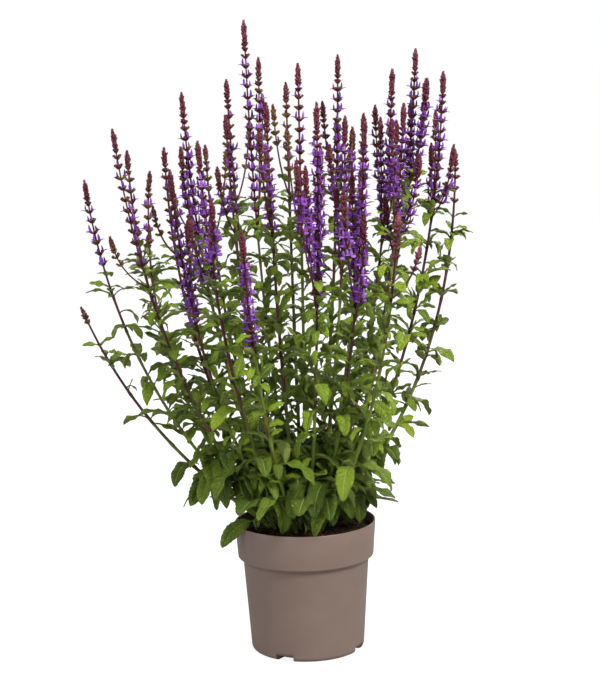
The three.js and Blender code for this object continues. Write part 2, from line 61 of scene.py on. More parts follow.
def make_camera():
    ahead = Vector((0, math.cos(camera_pitch), -math.sin(camera_pitch)))
    up = Vector((0, math.sin(camera_pitch), math.cos(camera_pitch)))
    right = Vector((1, 0, 0))
    turned_up = up * math.cos(camera_roll) + right * math.sin(camera_roll)
    turned_right = right * math.cos(camera_roll) - up * math.sin(camera_roll)
    lens = bpy.data.cameras.new("camera")
    lens.sensor_fit = "AUTO"
    lens.sensor_width = 36
    lens.lens = focal_pixels * lens.sensor_width / picture_height
    camera = bpy.data.objects.new("camera", lens)
    turn = Matrix((turned_right, turned_up, -ahead)).transposed()
    camera.matrix_world = Matrix.Translation(camera_place) @ turn.to_4x4()
    bpy.context.collection.objects.link(camera)
    bpy.context.scene.camera = camera


def add_lamp(name, place, aim, size, watts, colour):
    lamp = bpy.data.lights.new(name, "AREA")
    lamp.size = size
    lamp.energy = watts
    lamp.color = colour
    holder = bpy.data.objects.new(name, lamp)
    holder.location = place
    holder.rotation_euler = (Vector(aim) - Vector(place)).to_track_quat("-Z", "Y").to_euler()
    bpy.context.collection.objects.link(holder)


def show_to_camera(tree, socket, seen, lit):
    """Sets a strength that is seen to the camera's own rays, and lit to the rays that carry light."""
    path = tree.nodes.new("ShaderNodeLightPath")
    scale = tree.nodes.new("ShaderNodeMapRange")
    scale.inputs["To Min"].default_value = lit
    scale.inputs["To Max"].default_value = seen
    tree.links.new(path.outputs["Is Camera Ray"], scale.inputs["Value"])
    tree.links.new(scale.outputs["Result"], socket)


def make_studio():
    world = bpy.data.worlds.new("sky")
    world.use_nodes = True
    sky = world.node_tree.nodes["Background"].inputs
    sky["Color"].default_value = (1.0, 1.0, 1.0, 1.0)
    show_to_camera(world.node_tree, sky["Strength"], 1.0, sky_light)
    bpy.context.scene.world = world
    bpy.context.scene.view_settings.view_transform = "Standard"
    add_lamp("key", (1.5, -1.6, 2.2), (0, 0, 0.35), 0.8, 84, (1.0, 0.985, 0.955))
    add_lamp("fill", (-1.9, -1.5, 1.0), (0, 0, 0.4), 1.6, 18, (0.97, 0.985, 1.0))
    add_lamp("back", (0.9, 1.9, 1.7), (0, 0, 0.4), 1.2, 26, (1.0, 0.99, 0.97))

    reach = floor_reach
    corners = [(-reach, -reach, 0), (reach, -reach, 0), (reach, reach, 0), (-reach, reach, 0)]
    mesh = bpy.data.meshes.new("floor")
    mesh.from_pydata(corners, [], [(0, 1, 2, 3)])
    floor = bpy.data.objects.new("floor", mesh)
    pale = bpy.data.materials.new("pale floor")
    pale.use_nodes = True
    shader = pale.node_tree.nodes["Principled BSDF"].inputs
    shader["Base Color"].default_value = (0.3, 0.3, 0.3, 1.0)
    shader["Specular IOR Level"].default_value = 0.0
    shader["Emission Color"].default_value = (1.0, 1.0, 1.0, 1.0)
    show_to_camera(pale.node_tree, shader["Emission Strength"], 0.87, 0.1)
    mesh.materials.append(pale)
    bpy.context.collection.objects.link(floor)


make_camera()
make_studio()

# The pot: a nursery container of injection-moulded polypropylene, warm taupe and
# satin, turned in one piece with a stepped collar and a rolled lip. Four pockets in its
# heel let water out through the drain holes in their ceilings.
rim_radius = 0.085
collar_foot_radius = 0.082
shoulder_radius = 0.0758
heel_radius = 0.0686
base_radius = 0.062
pot_height = 0.1585
collar_foot_height = 0.116
shoulder_height = 0.109
heel_height = 0.0075
pot_wall = 0.0016
mouth_radius = 0.0829
pocket_middles = np.radians([-115, -25, 65, 155])
pocket_half_angle = math.radians(9.5)
pocket_height = 0.0075
pocket_inner_radius = 0.051
drain_radius = 0.0026
drain_ring_radius = 0.057
drain_half_angle = math.radians(4.6)
taupe = srgb(134, 115, 105)
taupe_dark = srgb(124, 105, 95)


class Link:
    """An output socket of a node tree. Arithmetic on it adds Math nodes to the tree."""

    def __init__(self, tree, socket):
        self.tree = tree
        self.socket = socket

    def math(self, operation, *terms):
        settings = {"operation": operation}
        return add_node(self.tree, "ShaderNodeMath", settings, dict(enumerate(terms)))

    def __add__(self, other):
        return self.math("ADD", self, other)

    def __sub__(self, other):
        return self.math("SUBTRACT", self, other)

    def __rsub__(self, other):
        return self.math("SUBTRACT", other, self)

    def __mul__(self, other):
        return self.math("MULTIPLY", self, other)

    def __abs__(self):
        return self.math("ABSOLUTE", self)

    __radd__ = __add__
    __rmul__ = __mul__

    def folded(self, turn):
        """A zigzag that rises from 0 to turn and falls back."""
        return self.math("PINGPONG", self, turn)

    def clamped(self, low, high):
        """0 at low and below, 1 at high and above, and a smooth step between."""
        values = {"Value": self, "From Min": low, "From Max": high}
        settings = {"interpolation_type": "SMOOTHSTEP"}
        return add_node(self.tree, "ShaderNodeMapRange", settings, values)


def add_node(tree, kind, settings, values, output=0):
    """Adds a node with its settings, then feeds its inputs, by name or number, from values or links."""
    made = tree.nodes.new(kind)
    for key, value in settings.items():
        setattr(made, key, value)
    for key, value in values.items():
        if isinstance(value, Link):
            tree.links.new(value.socket, made.inputs[key])
        else:
            made.inputs[key].default_value = value
    return Link(tree, made.outputs[output])


class Finish:
    """A material under construction: its tree, its shader, and the patterns that most of them share."""

    def __init__(self, name, **sockets):
        self.material = bpy.data.materials.new(name)
        self.material.use_nodes = True
        self.tree = self.material.node_tree
        self.shader = self.tree.nodes["Principled BSDF"]
        self.place = self.node("ShaderNodeTexCoord", {}, {}, "Object")
        for key, value in sockets.items():
            self.set(key.replace("_", " "), value)

    def node(self, kind, settings, values, output=0):
        return add_node(self.tree, kind, settings, values, output)

    def set(self, socket, value):
        if isinstance(value, Link):
            self.tree.links.new(value.socket, self.shader.inputs[socket])
        else:
            self.shader.inputs[socket].default_value = value

    def noise(self, scale, detail=2.0, stretch=(1, 1, 1)):
        """Cloudy noise from 0 to 1 on the piece's own place, with patches of 1 / scale metres."""
        settings = {"operation": "MULTIPLY"}
        spot = self.node("ShaderNodeVectorMath", settings, {0: self.place, 1: stretch})
        return self.node("ShaderNodeTexNoise", {}, {"Vector": spot, "Scale": scale, "Detail": detail})

    def mix(self, share, first, second):
        settings = {"data_type": "RGBA"}
        return self.node("ShaderNodeMix", settings, {0: share, 6: first, 7: second}, 2)

    def attribute(self, name):
        return self.node("ShaderNodeAttribute", {"attribute_name": name}, {}, "Fac")

    def bump(self, height, depth, strength=1.0):
        values = {"Height": height, "Distance": depth, "Strength": strength}
        self.set("Normal", self.node("ShaderNodeBump", {}, values))


def loft(rings, last=None):
    """Closed skins from rings of points: (copies, rows, around, 3), anticlockwise seen from the last row.

    Neighbouring rows are joined by quads, and each end by a fan to its middle, or the last end to last.
    """
    copies, rows, around, _ = rings.shape
    first = rings[:, 0].mean(1)
    last = rings[:, -1].mean(1) if last is None else last
    points = np.concatenate([rings.reshape(copies, -1, 3), first[:, None], last[:, None]], 1)
    low = np.arange((rows - 1) * around).reshape(rows - 1, around)
    beside = np.roll(low, -1, 1)
    quads = np.stack([low, beside, beside + around, low + around], -1).reshape(-1, 4)
    edge = np.arange(around)
    turned = np.roll(edge, -1)
    end = (rows - 1) * around
    start_middle = np.full(around, rows * around)
    fans = np.concatenate(
        [
            np.stack([start_middle, turned, edge], -1),
            np.stack([start_middle + 1, edge + end, turned + end], -1),
        ]
    )
    steps = (np.arange(copies) * points.shape[1])[:, None, None]
    return {
        "points": points.reshape(-1, 3),
        "quads": (quads[None] + steps).reshape(-1, 4),
        "fans": (fans[None] + steps).reshape(-1, 3),
        "copies": copies,
    }


def spread(skin, values, ends=0.0):
    """A value for each point of a loft, from one for each copy, or from a grid with ends for the fans."""
    values = np.asarray(values, float)
    if values.ndim == 1:
        return np.repeat(values, len(skin["points"]) // skin["copies"])
    flat = values.reshape(skin["copies"], -1)
    return np.pad(flat, ((0, 0), (0, 2)), constant_values=ends).ravel()


def make_piece(name, skins, finishes, replaced):
    """One mesh object from skins, each with its finish's number as paint and any attributes by name."""
    counts = [len(skin["points"]) for skin in skins]
    points = np.concatenate([skin["points"] for skin in skins])
    firsts = np.cumsum([0] + counts[:-1])
    kinds = [(skin, first, key) for key in ("quads", "fans") for skin, first in zip(skins, firsts)]
    corners = np.concatenate([(skin[key] + first).ravel() for skin, first, key in kinds])
    totals = np.concatenate([np.full(len(skin[key]), skin[key].shape[1]) for skin, _, key in kinds])
    paints = np.concatenate([np.full(len(skin[key]), skin.get("paint", 0)) for skin, _, key in kinds])
    mesh = bpy.data.meshes.new(name)
    mesh.vertices.add(len(points))
    mesh.vertices.foreach_set("co", points.astype(np.float32).ravel())
    mesh.loops.add(len(corners))
    mesh.loops.foreach_set("vertex_index", corners.astype(np.int32))
    mesh.polygons.add(len(totals))
    starts = np.cumsum(totals) - totals
    for key, values in (("loop_start", starts), ("loop_total", totals), ("material_index", paints)):
        mesh.polygons.foreach_set(key, values.astype(np.int32))
    mesh.polygons.foreach_set("use_smooth", np.full(len(totals), True))
    for key in sorted({key for skin in skins for key in skin.get("marks", {})}):
        parts = [skin.get("marks", {}).get(key, np.zeros(count)) for skin, count in zip(skins, counts)]
        mark = mesh.attributes.new(key, "FLOAT", "POINT")
        mark.data.foreach_set("value", np.concatenate(parts).astype(np.float32))
    mesh.update(calc_edges=True)
    mesh.validate()
    for finish in finishes:
        mesh.materials.append(finish.material)
    piece = bpy.data.objects.new(name, mesh)
    bpy.context.collection.objects.link(piece)
    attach(piece, "root")
    if replaced:
        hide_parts(*replaced)
    return piece


def plastic_finish():
    """Satin taupe: a faint cloud in colour and gloss, and a skin with a fine orange peel."""
    finish = Finish("taupe plastic", Specular_IOR_Level=0.45)
    cloud = finish.noise(28)
    finish.set("Base Color", finish.mix(cloud, taupe_dark, taupe))
    finish.set("Roughness", 0.36 + 0.14 * finish.noise(60, 3))
    finish.bump(finish.noise(900) + 3.0 * finish.noise(35), 0.00012, 0.35)
    return finish


def round_angles(count):
    """Even angles once round a circle."""
    return np.linspace(0, 2 * math.pi, count, endpoint=False)


def polar(radius, angle, height):
    """Points (radius cos angle, radius sin angle, height)."""
    return np.stack(np.broadcast_arrays(radius * np.cos(angle), radius * np.sin(angle), height), -1)


def pot_angles():
    """Angles round the pot: even steps, and a pair on each side wall of a pocket, outside and inside."""
    even = np.linspace(-math.pi, math.pi, 180, endpoint=False)
    inner = pocket_half_angle
    outer = pocket_half_angle + pot_wall / heel_radius
    walls = [middle + side * (half + gap) for middle in pocket_middles for side in (-1, 1)
             for half in (inner, outer) for gap in (-0.0004, 0.0004)]
    return np.sort(np.concatenate([even, (np.array(walls) + math.pi) % (2 * math.pi) - math.pi]))


def arc(middle, radius, start, end, steps):
    """Points of [radius, height] on a round corner, from one angle in degrees to another."""
    turn = np.radians(np.linspace(start, end, steps))
    return [(middle[0] + radius * math.cos(t), middle[1] + radius * math.sin(t)) for t in turn]


def make_pot():
    """A profile carried round the axis: up the inside, over the lip, down the stepped outside and under.

    In a pocket's angles the floor and the heel are lifted to the pocket's inner and outer ceiling.
    """
    lip = 0.0011
    inside = [
        (0.0005, pot_wall), (pocket_inner_radius - pot_wall, pot_wall),
        (base_radius - pot_wall, pot_wall), (heel_radius - pot_wall, heel_height + pot_wall),
        (shoulder_radius - pot_wall, shoulder_height + pot_wall),
        (collar_foot_radius - pot_wall, collar_foot_height + pot_wall), (mouth_radius, pot_height - lip),
    ]
    over = arc((rim_radius - lip, pot_height - lip), lip, 170, 0, 9)
    step = arc((collar_foot_radius - 0.001, collar_foot_height + 0.001), 0.001, 0, -75, 5)
    shoulder = arc((shoulder_radius + 0.0016, shoulder_height + 0.0012), 0.0016, 120, 180, 4)
    side = [(shoulder_radius - 0.0036, 0.06), (heel_radius + 0.0003, heel_height + 0.004)]
    heel = [(heel_radius, heel_height), *arc((heel_radius - 0.0062, 0.0063), 0.0062, 0, -84, 7)]
    under = [(pocket_inner_radius, 0.0), (0.0005, 0.0)]
    plain = np.array(inside + over + step + shoulder + side + heel + under)
    pocketed = plain.copy()
    floor = slice(1, 4)
    pocketed[floor, 1] = np.maximum(pocketed[floor, 1], pocket_height + pot_wall)
    heel_rows = slice(len(plain) - len(heel) - 2, len(plain) - 2)
    pocketed[heel_rows, 1] = np.maximum(pocketed[heel_rows, 1], pocket_height)

    angles = pot_angles()
    apart = np.abs((angles[:, None] - pocket_middles + math.pi) % (2 * math.pi) - math.pi).min(1)
    in_pocket = apart < pocket_half_angle
    by_pocket = apart < pocket_half_angle + pot_wall / heel_radius
    profile = np.repeat(plain[None], len(angles), 0)
    profile[by_pocket, floor] = pocketed[floor]
    profile[in_pocket, heel_rows] = pocketed[heel_rows]
    rings = polar(profile[..., 0], angles[:, None], profile[..., 1]).transpose(1, 0, 2)[None]
    ceiling = rings[:, -2].copy()
    ceiling[in_pocket[None], 2] = pocket_height
    rings = np.concatenate([rings[:, :-2], ceiling[:, None], rings[:, -2:]], 1)
    pot = make_piece("nursery_pot", [loft(rings[:, ::-1])], [plastic_finish()], ["pot"])
    drill = []
    for middle in pocket_middles:
        for side_of in (-1, 1):
            turn = middle + side_of * drain_half_angle
            centre = drain_ring_radius * np.array([math.cos(turn), math.sin(turn), 0])
            ring = polar(drain_radius, round_angles(20), 0) + centre
            lifts = np.array([pocket_height - 0.002, pocket_height + pot_wall + 0.002])
            drill.append(loft((ring[None] + lifts[:, None, None] * (0, 0, 1))[None]))
    drills = make_piece("drills", drill, [], [])
    cut = pot.modifiers.new("drain holes", "BOOLEAN")
    cut.operation = "DIFFERENCE"
    cut.solver = "EXACT"
    cut.object = drills
    bpy.context.view_layer.update()
    cut_mesh = bpy.data.meshes.new_from_object(pot.evaluated_get(bpy.context.evaluated_depsgraph_get()))
    pot.modifiers.clear()
    pot.data = cut_mesh
    bpy.data.objects.remove(drills)


make_pot()

# The soil: dark, damp peat that fills the pot to a finger's width below the lip. Its
# face is lumpy, with loose crumbs and a few pale root fibres lying on it.
soil_edge_height = 0.146
soil_mound = 0.004
soil_flat = 0.038
soil_radius = 0.0815
crumb_count = 700
fibre_count = 60
peat_dark = srgb(32, 22, 17)
peat_brown = srgb(88, 60, 43)
fibre_colour = srgb(104, 78, 54)


def lerp(low, high, share):
    return low + (high - low) * share


def soil_height(x, y):
    """Level in the middle, falling to the edge, with lumps that are sums of sines of growing pitch."""
    far = np.hypot(x, y)
    fall = np.clip((far - soil_flat) / (rim_radius - soil_flat), 0, 1)
    lumps = 0.0
    for pitch, height in ((0.031, 1.1), (0.017, 0.7), (0.0093, 0.5), (0.0051, 0.35)):
        across = np.sin(x / pitch * 6.3 + 9 * pitch)
        lumps = lumps + height * across * np.sin(y / pitch * 6.3 + 40 * pitch + x / pitch)
    return soil_edge_height + soil_mound * (1 - fall) + 0.0007 * lumps


def peat_finish():
    finish = Finish("peat", Roughness=0.95, Specular_IOR_Level=0.25)
    clods = finish.noise(260, 6)
    finish.set("Base Color", finish.mix(clods.clamped(0.42, 0.72), peat_dark, peat_brown))
    finish.bump(finish.noise(700, 6), 0.0015)
    return finish


def fibre_finish():
    finish = Finish("root fibre", Roughness=0.85)
    finish.set("Base Color", finish.mix(finish.noise(400), fibre_colour, peat_brown))
    return finish


def scatter(chance, inner, outer, count):
    """Places on the soil, even over the area between two shares of its face."""
    spots = np.sqrt(chance.uniform(inner, outer, count)) * soil_radius
    turns = chance.uniform(0, 2 * math.pi, count)
    return spots * np.cos(turns), spots * np.sin(turns)


def make_soil():
    """A polar grid on soil_height, turned down at the edge and closed below, with loose crumbs and fibres."""
    chance = np.random.default_rng(4)
    around = round_angles(160)
    radii = np.linspace(soil_radius, 0.0012, 48)
    x = radii[:, None] * np.cos(around)
    y = radii[:, None] * np.sin(around)
    top = np.stack([x, y, soil_height(x, y)], -1)
    low = np.stack([x[:1], y[:1], 0 * x[:1] + soil_edge_height - 0.02], -1)
    ground = loft(np.concatenate([low, top])[None])

    x, y = scatter(chance, 0.02, 0.97, crumb_count)
    size = 0.0007 + 0.0022 * chance.random(crumb_count) ** 3
    spin = round_angles(6)
    shape = np.array([(0.5, -0.7), (1.0, -0.1), (0.6, 0.6)])
    lumpy = chance.uniform(0.7, 1.3, (crumb_count, 3, 6))
    across = shape[:, 0, None] * np.stack([np.cos(spin), np.sin(spin)])[:, None] * lumpy[:, None]
    rings = np.stack([across[:, 0], across[:, 1], shape[:, 1, None] + 0 * lumpy], -1)
    place = np.stack([x, y, soil_height(x, y) + 0.3 * size], -1)
    crumbs = loft(rings * size[:, None, None, None] + place[:, None, None])

    x, y = scatter(chance, 0.05, 0.85, fibre_count)
    reach = chance.uniform(0.004, 0.016, fibre_count)
    along = np.linspace(0, 1, 7)
    angle = chance.uniform(0, 6, fibre_count)[:, None]
    angle = angle + chance.uniform(-1.2, 1.2, fibre_count)[:, None] * along
    x = x[:, None] + reach[:, None] * along * np.cos(angle)
    y = y[:, None] + reach[:, None] * along * np.sin(angle)
    middle = np.stack([x, y, soil_height(x, y) + 0.0009], -1)
    spin = round_angles(4)[:, None]
    side = np.stack([-np.sin(angle), np.cos(angle), 0 * angle], -1)
    thick = 0.00025 * (1.1 - along)[None, :, None, None]
    ring = side[:, :, None] * np.cos(spin) + np.array([0, 0, 1.0]) * np.sin(spin)
    fibres = loft(middle[:, :, None] + thick * ring)
    fibres["paint"] = 1
    make_piece("peat", [ground, crumbs, fibres], [peat_finish(), fibre_finish()], ["soil"])


make_soil()

# The stems: square, wiry shoots that rise from the crown, lean out and turn upwards.
# They are green and brown at the foot and dusky purple above, faintly ribbed and downy.
# From here on sizes are in millimetres, as on a ruler laid along the shoot.
mm = 0.001
stem_foot = 16.0
root_spread = 0.17
ground_height = 152.5
stem_half_width = 2.1
stem_top_half_width = 1.3
spike_tip_half_width = 0.8
stem_rise = 0.38
peduncle = 42.0
side_spike_share = 0.62
path_steps = 48
face_height = 3.0
joint_swelling = 0.5
joint_reach = 3.5

# Shoots from left to right: tip of the leading spike, its length, how far the stem bows,
# how much of it is in flower, its hue from green-brown 0 to rose 1, and then the same for
# each side spike: tip, length, bloom and hue.
shoots = [
    ((-264, 40, 418), 30, 0.70, 0.0, 0.25, []),
    ((-247, -20, 575), 93, 0.85, 0.45, 0.6, []),
    ((-208, -60, 635), 150, 0.80, 0.35, 0.65, [((-212, -98, 516), 40, 0.1, 0.3)]),
    ((-203, 60, 604), 95, 0.95, 0.4, 0.45, [((-182, 98, 500), 34, 0.0, 0.2)]),
    ((-171, -10, 583), 80, 1.20, 0.3, 0.4, []),
    ((-162, 110, 604), 95, 0.95, 0.35, 0.7, [((-176, 78, 535), 55, 0.0, 0.15)]),
    ((-141, -110, 590), 150, 0.85, 0.85, 0.55, []),
    ((-134, 40, 672), 140, 0.85, 0.75, 0.6, [((-150, 8, 574), 56, 0.2, 0.1)]),
    ((-107, -150, 623), 120, 0.85, 1.0, 0.6, [((-92, -182, 561), 85, 1.0, 0.7)]),
    ((-113, 150, 604), 80, 0.90, 0.2, 0.3, [((-88, 178, 596), 60, 0.1, 0.2)]),
    ((-80, -30, 646), 100, 0.85, 0.4, 0.5, [((-90, -62, 589), 80, 0.7, 0.5)]),
    ((-82, 92, 685), 112, 0.85, 0.45, 0.65, [((-56, 118, 635), 70, 0.1, 0.0)]),
    ((-57, 20, 754), 200, 0.85, 0.65, 0.7, [((-38, 48, 668), 100, 0.3, 0.4)]),
    ((-61, -170, 525), 100, 0.80, 1.0, 0.5, []),
    ((-32, -80, 661), 110, 0.85, 0.65, 0.5, [((-40, -116, 634), 90, 0.6, 0.4)]),
    ((-10, 120, 679), 100, 0.85, 0.3, 0.35, [((-27, 152, 652), 60, 0.1, 0.1)]),
    ((5, -10, 703), 164, 0.85, 0.45, 0.65, [((-10, 30, 628), 60, 0.1, 0.2)]),
    ((24, -150, 662), 180, 0.85, 0.95, 0.8, [((0, -176, 600), 80, 0.9, 0.55)]),
    ((53, 60, 711), 124, 0.85, 0.6, 0.6, [((34, 88, 656), 80, 0.3, 0.4)]),
    ((57, -64, 643), 125, 0.85, 0.9, 0.55, [((64, -98, 632), 80, 0.9, 0.4)]),
    ((76, -142, 644), 175, 0.85, 0.95, 0.7, [((50, -178, 568), 70, 0.9, 0.5)]),
    ((86, 150, 638), 95, 0.85, 0.3, 0.3, [((66, 120, 594), 60, 0.1, 0.1)]),
    ((116, 20, 694), 150, 0.85, 0.8, 0.7, [((96, 48, 651), 90, 0.5, 0.5)]),
    ((124, -62, 656), 110, 0.85, 0.9, 0.7, [((108, -98, 640), 80, 0.8, 0.6)]),
    ((149, 100, 716), 125, 0.85, 0.7, 0.75, [((160, 64, 681), 95, 0.9, 0.6)]),
    ((173, -16, 690), 120, 0.90, 0.8, 0.7, [((166, 18, 644), 80, 0.5, 0.4)]),
    ((193, 70, 594), 60, 1.00, 0.1, 0.7, []),
    ((110, -160, 540), 60, 0.85, 0.1, 1.0, [((136, -128, 500), 40, 0.0, 0.9)]),
]


class Path:
    """A quadratic curve from start to end, bent at a control point, read by the distance along it."""

    def __init__(self, start, bend, end):
        self.start, self.bend, self.end = (np.array(p, float) for p in (start, bend, end))
        self.marks = np.linspace(0, 1, path_steps + 1)
        places = self.point(self.marks)
        steps = np.linalg.norm(np.diff(places, axis=0), axis=1)
        self.lengths = np.concatenate([[0], np.cumsum(steps)])
        self.length = self.lengths[-1]

    def point(self, t):
        t = np.asarray(t)[..., None]
        return (1 - t) ** 2 * self.start + 2 * t * (1 - t) * self.bend + t * t * self.end

    def at(self, distance):
        return self.point(np.interp(distance, self.lengths, self.marks))

    def along(self, distance):
        t = np.interp(distance, self.lengths, self.marks)[..., None]
        slope = (1 - t) * (self.bend - self.start) + t * (self.end - self.bend)
        return slope / np.linalg.norm(slope, axis=-1, keepdims=True)


def draw(*keys):
    """A number from 0 to 1 that depends on whole numbers alone."""
    value = 1 + sum(key * weight for key, weight in zip(keys, (9973, 971, 89, 7)))
    for _ in range(3):
        value = value * 16807 % 2147483647
    return value / 2147483647


def branch_path(start, tip):
    bend = [lerp(start[0], tip[0], 0.8), lerp(start[1], tip[1], 0.8), lerp(start[2], tip[2], 0.3)]
    return Path(start, bend, tip)


def make_plant(index, tip, spike, bow, bloom, hue, sides):
    root = np.array([tip[0] * root_spread, tip[1] * root_spread, ground_height])
    bend = [lerp(root[0], tip[0], bow), lerp(root[1], tip[1], bow), lerp(root[2], tip[2], stem_rise)]
    path = Path(root, bend, tip)
    top = path.length - spike - peduncle
    spikes = [(path, path.length - spike, bloom, hue)]
    for side_tip, length, side_bloom, side_hue in sides:
        branch = branch_path(path.at(top + 5), side_tip)
        start = max(branch.length - length, branch.length * (1 - side_spike_share))
        spikes.append((branch, start, side_bloom, side_hue))
    turn = math.atan2(tip[1], tip[0]) + draw(index, 0, 0, 1) - 0.5
    number = f"{index + 1:02d}"
    return {"index": index, "number": number, "path": path, "top": top, "turn": turn, "spikes": spikes}


plants = [make_plant(index, *shoot) for index, shoot in enumerate(shoots)]


def cross_frame(alongs, turn):
    """Two directions across a path, u and v, where v is level where the path is upright."""
    level = np.array([-math.sin(turn), math.cos(turn), 0.0])
    v = level - alongs * (alongs @ level)[..., None]
    v /= np.linalg.norm(v, axis=-1, keepdims=True)
    return np.cross(v, alongs), v


def square_rings(places, alongs, turn, halves, around=12):
    """Rings of a square stalk: radius 1.22 at the corners and 0.97 in the grooved faces, times halves."""
    u, v = cross_frame(alongs, turn)
    angle = 2 * math.pi * np.arange(around) / around
    radius = 1.095 - 0.125 * np.cos(4 * angle)
    across = u[:, None] * (np.cos(angle) * radius)[:, None] + v[:, None] * (np.sin(angle) * radius)[:, None]
    return places[:, None] + across * halves[:, None, None]


def stem_finish():
    """Olive and red-brown streaks low down, turning to dusky purple higher up."""
    finish = Finish("stem", Specular_IOR_Level=0.35)
    rise = finish.attribute("rise")
    streak = finish.noise(70, 4, (1, 1, 0.12))
    low = finish.mix(streak.clamped(0.5, 0.68), srgb(118, 138, 52), srgb(104, 74, 44))
    high = finish.mix(streak.clamped(0.35, 0.75), srgb(70, 28, 40), srgb(108, 58, 64))
    share = (rise + 0.7 * (streak - 0.5)).clamped(0.3, 0.7)
    finish.set("Base Color", finish.mix(share, low, high))
    finish.set("Roughness", 0.45 + 0.25 * finish.noise(300))
    finish.bump(finish.noise(1500, 2, (1, 1, 0.15)), 0.0003, 0.6)
    return finish


def stem_skin(plant):
    """The leafy stem: upright foot and leaning shaft, eased where they meet, thicker at each leaf pair."""
    path, top = plant["path"], plant["top"]
    down = np.linspace(-stem_foot, -2, 5)
    up = np.linspace(4, top, int(top / 6))
    foot = path.start + down[:, None] * (0, 0, 1)
    middle = np.concatenate([foot, path.at(up)])
    for _ in range(3):
        middle[1:-1] = (middle[:-2] + 2 * middle[1:-1] + middle[2:]) / 4
    alongs = np.gradient(middle, axis=0)
    alongs /= np.linalg.norm(alongs, axis=1, keepdims=True)
    distance = np.concatenate([down, up])
    share = np.clip(distance / top, 0, 1)
    halves = lerp(stem_half_width, stem_top_half_width, share)
    for joint in plant["joints"]:
        halves = halves + joint_swelling * np.exp(-(((distance - joint) / joint_reach) ** 2))
    skin = loft(square_rings(middle, alongs, plant["turn"], halves)[None] * mm)
    ruddy = lerp(-0.2, 0.3, draw(plant["index"], 0, 0, 3))
    rise = np.repeat(distance / plant["path"].length + ruddy, 12).reshape(1, -1, 12)
    skin["marks"] = {"rise": spread(skin, rise, 0.7)}
    return skin


# The leaves: long, blunt and puckered, on channelled stalks, in pairs that turn a
# quarter at each joint. The largest hang from the lowest joints; small ones fill the axils
# above. Each blade is folded along a pale midrib, with a scalloped, waved edge.
leaf_crowding = 1.12
first_leaf = 48.0
leaf_step = 66.0
low_leaf_length, top_leaf_length = 79.0, 34.0
low_leaf_width, top_leaf_width = 0.35, 0.33
leaf_steps = 12
leaf_away = 0.48
least_leaf_height = 152
beyond_rim_height = 178.0
rim_clearance = 7
least_droop = math.radians(25)
stalk_balls = 9
ball_gap = 8
stem_reach = 2.6
branch_reach = 2.4
whorl_reach = 8.0
leaf_ways = [
    (turn, size, lift)
    for size in (1, 0.8, 0.62)
    for lift in (0, 20, 40)
    for turn in (0, 16, -16, 32, -32, 48, -48)
]
leaf_deep = srgb(76, 106, 6)
leaf_green = srgb(154, 186, 22)
leaf_young = srgb(180, 206, 46)
leaf_under = srgb(160, 178, 82)
leaf_vein = srgb(190, 204, 116)


def leaf_pairs(plant):
    span = plant["top"] - face_height - 4 - first_leaf
    count = math.floor(span / leaf_step + 0.5)
    return [first_leaf + span * (level / count) ** leaf_crowding for level in range(count + 1)]


def make_stance(length, width, petiole, rise, droop, bend, roll):
    """How a leaf stands. The angles rise, droop and roll are given in degrees and kept in radians."""
    angles = {"rise": math.radians(rise), "droop": math.radians(droop), "roll": math.radians(roll)}
    return {"length": length, "width": width, "petiole": petiole, "bend": bend, **angles}


def leaf_stance(plant, level, pair, share):
    vary = [draw(plant["index"], level, pair, channel) for channel in range(7)]
    length = lerp(low_leaf_length, top_leaf_length, share**0.7) * lerp(0.88, 1.1, vary[2])
    width = length * lerp(low_leaf_width, top_leaf_width, share) * lerp(0.92, 1.08, vary[3])
    rise = lerp(44, 54, share) + lerp(-12, 12, vary[4])
    droop = lerp(138, 74, share) * lerp(0.8, 1.2, vary[5])
    petiole, bend, roll = lerp(0.26, 0.08, share), lerp(0.55, 0.95, share), lerp(-40, 40, vary[6])
    return make_stance(length, width, petiole, rise, droop, bend, roll)


def leaf_line(start, azimuth, stance):
    """The midrib: it rises at an angle that falls, fastest at first, while the blade rolls to one side."""
    i = np.arange(leaf_steps + 1)
    angle = (stance["rise"] - stance["droop"] * (i / leaf_steps) ** stance["bend"])[:, None]
    roll = (stance["roll"] * i / leaf_steps)[:, None]
    out = np.array([math.cos(azimuth), math.sin(azimuth), 0.0])
    level = np.array([-math.sin(azimuth), math.cos(azimuth), 0.0])
    along = out * np.cos(angle) + np.array([0, 0, 1.0]) * np.sin(angle)
    right = level * np.cos(roll) + np.cross(along, level) * np.sin(roll)
    steps = along[:-1] * stance["length"] / leaf_steps
    place = np.concatenate([[start], start + np.cumsum(steps, 0)])
    return place, right, np.cross(along, right)


def blade_share(share, petiole):
    """Half the blade's width against its widest, at a share of the leaf's length."""
    t = np.clip((share - petiole) / (1 - petiole), 0, 1)
    return np.maximum(0.09, np.sin(math.pi * t**0.8) ** 0.62)


def leaf_balls(line, stance):
    i = np.array([1, 2, 4, 5, 7, 8, 10, 11, 12])
    place, right, _ = line
    half = 0.36 * stance["width"] * blade_share(i / leaf_steps, stance["petiole"])
    across = np.array([-1, 0, 1])
    centres = place[i][:, None] + right[i][:, None] * (half[:, None] * across)[..., None]
    radius = stance["length"] * np.where(i < 3, 0.035, 0.074)
    return np.concatenate([centres, np.repeat(radius, 3).reshape(-1, 3, 1)], -1).reshape(-1, 4)


